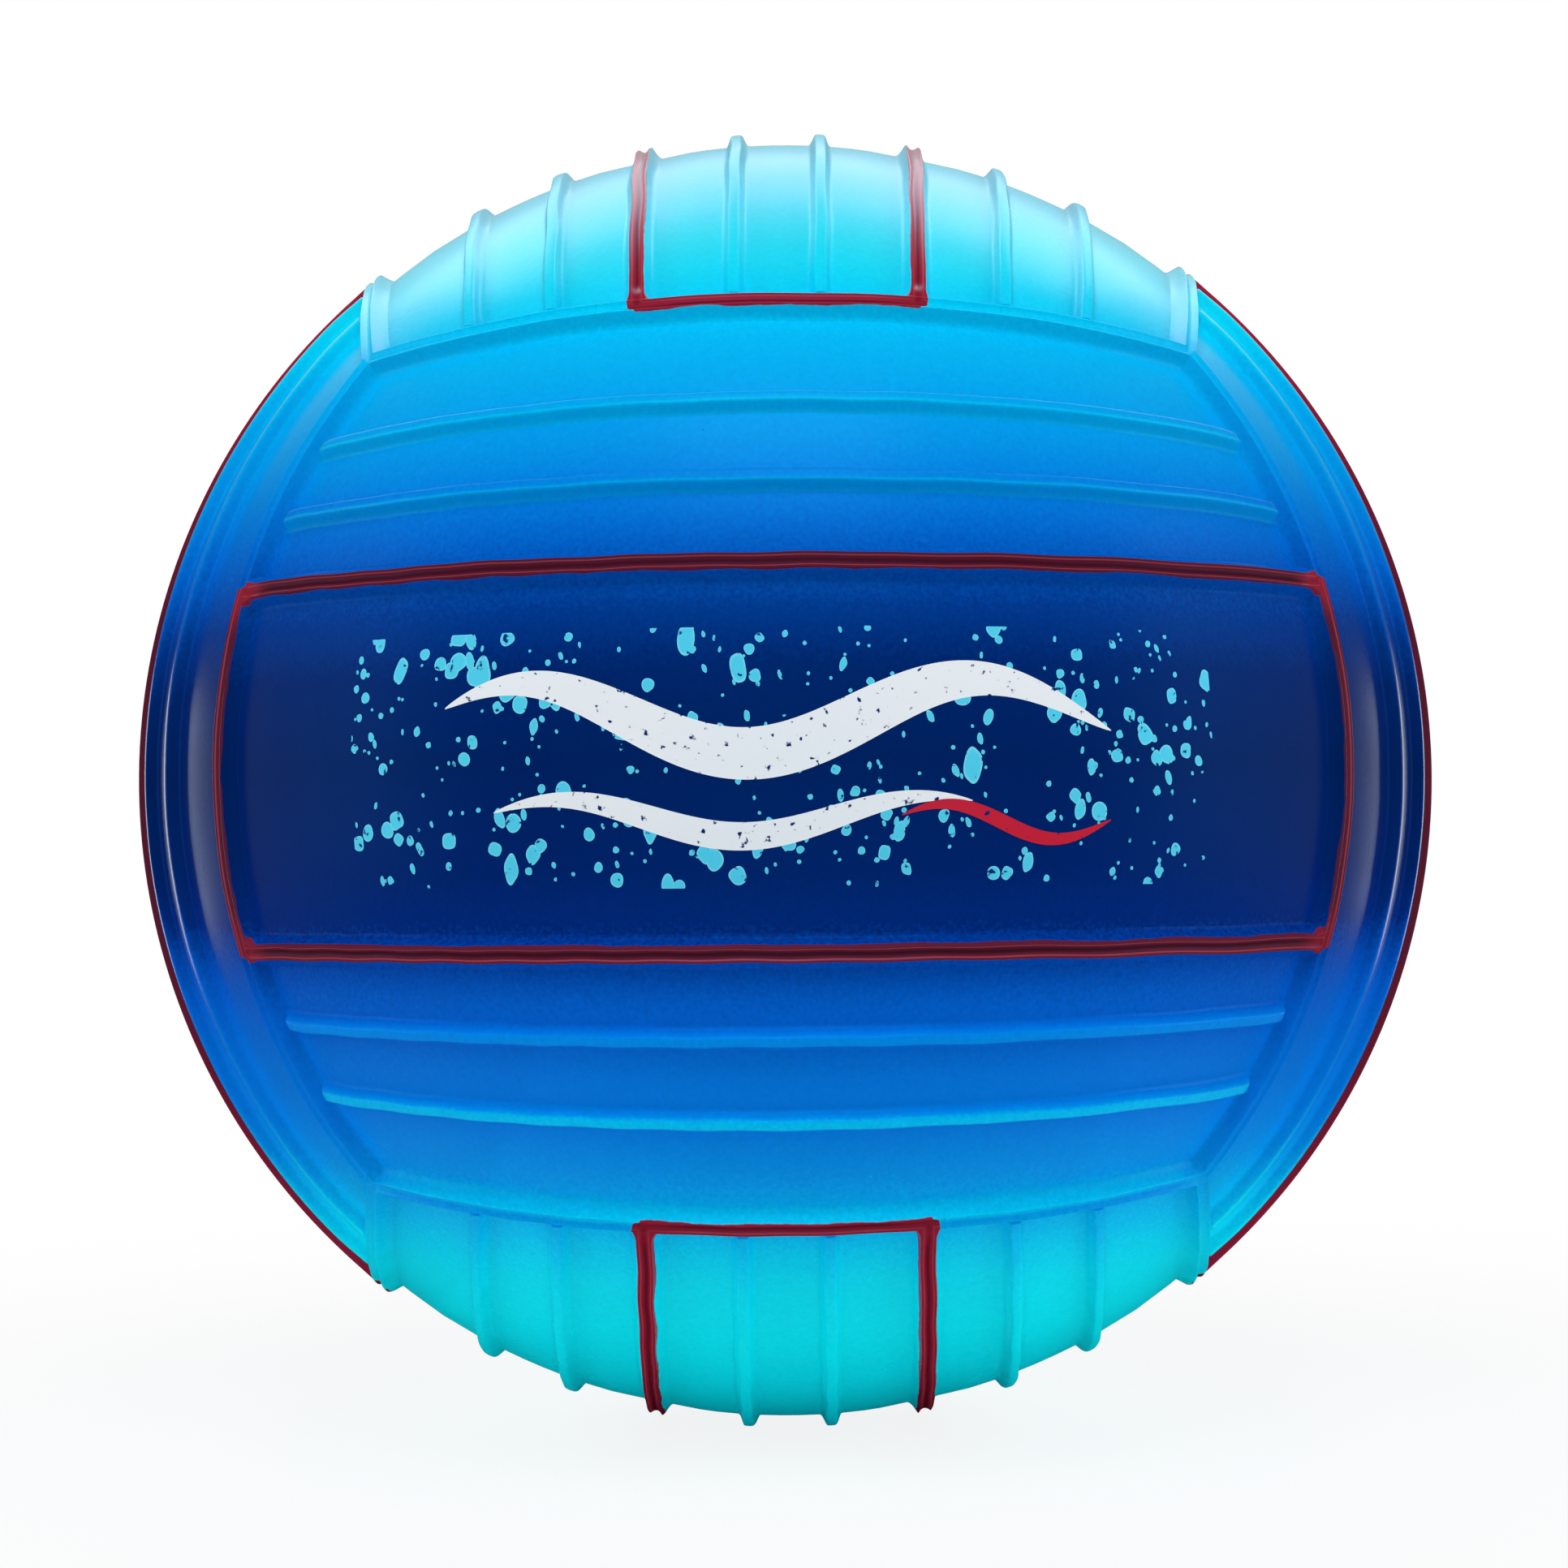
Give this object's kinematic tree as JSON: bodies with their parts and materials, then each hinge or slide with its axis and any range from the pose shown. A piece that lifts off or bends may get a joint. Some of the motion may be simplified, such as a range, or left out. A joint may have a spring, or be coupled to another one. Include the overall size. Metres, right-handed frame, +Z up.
{
  "type": "water polo ball",
  "caption": "Small soft water polo ball with ribbed grip panels, double-lipped red and blue seams, an inflated bladder and a needle valve.",
  "frame": {"origin": "the ball's centre", "axes": "-Y out of the middle of the printed front panel, +Y out of the valve, +Z up, +X to the right seen from the front"},
  "size_m": [0.193, 0.1899, 0.193],
  "materials": {
    "cover_navy": "satin soft rubber, deep blue",
    "cover_blue": "satin soft rubber, sprayed blue",
    "cover_light": "satin soft rubber, light turquoise",
    "seam_red": "satin red rubber",
    "winding": "wound thread set in latex",
    "bladder": "smooth butyl",
    "valve_rubber": "moulded rubber",
    "valve_plug": "self-sealing soft rubber"
  },
  "bodies": {
    "root": {"front_centre_panel": "cover_navy", "front_upper_panel": "cover_blue", "front_lower_panel": "cover_blue", "back_centre_panel": "cover_navy", "back_upper_panel": "cover_blue", "back_lower_panel": "cover_blue", "top_centre_panel": "cover_light", "top_left_panel": "cover_light", "top_right_panel": "cover_light", "bottom_centre_panel": "cover_light", "bottom_left_panel": "cover_light", "bottom_right_panel": "cover_light", "left_centre_panel": "cover_blue", "left_front_panel": "cover_blue", "left_back_panel": "cover_blue", "right_centre_panel": "cover_blue", "right_front_panel": "cover_blue", "right_back_panel": "cover_blue", "front_seam_frame": "seam_red", "back_seam_frame": "seam_red", "top_seam_frame": "seam_red", "bottom_seam_frame": "seam_red", "left_seam_frame": "seam_red", "right_seam_frame": "seam_red", "corner_seam_front_top_left": "cover_blue", "corner_seam_front_top_right": "cover_blue", "corner_seam_front_bottom_left": "cover_blue", "corner_seam_front_bottom_right": "cover_blue", "corner_seam_back_top_left": "cover_blue", "corner_seam_back_top_right": "cover_blue", "corner_seam_back_bottom_left": "cover_blue", "corner_seam_back_bottom_right": "cover_blue", "carcass": "winding", "bladder": "bladder", "valve_body": "valve_rubber", "valve_core": "valve_plug"}
  },
  "joints": []
}
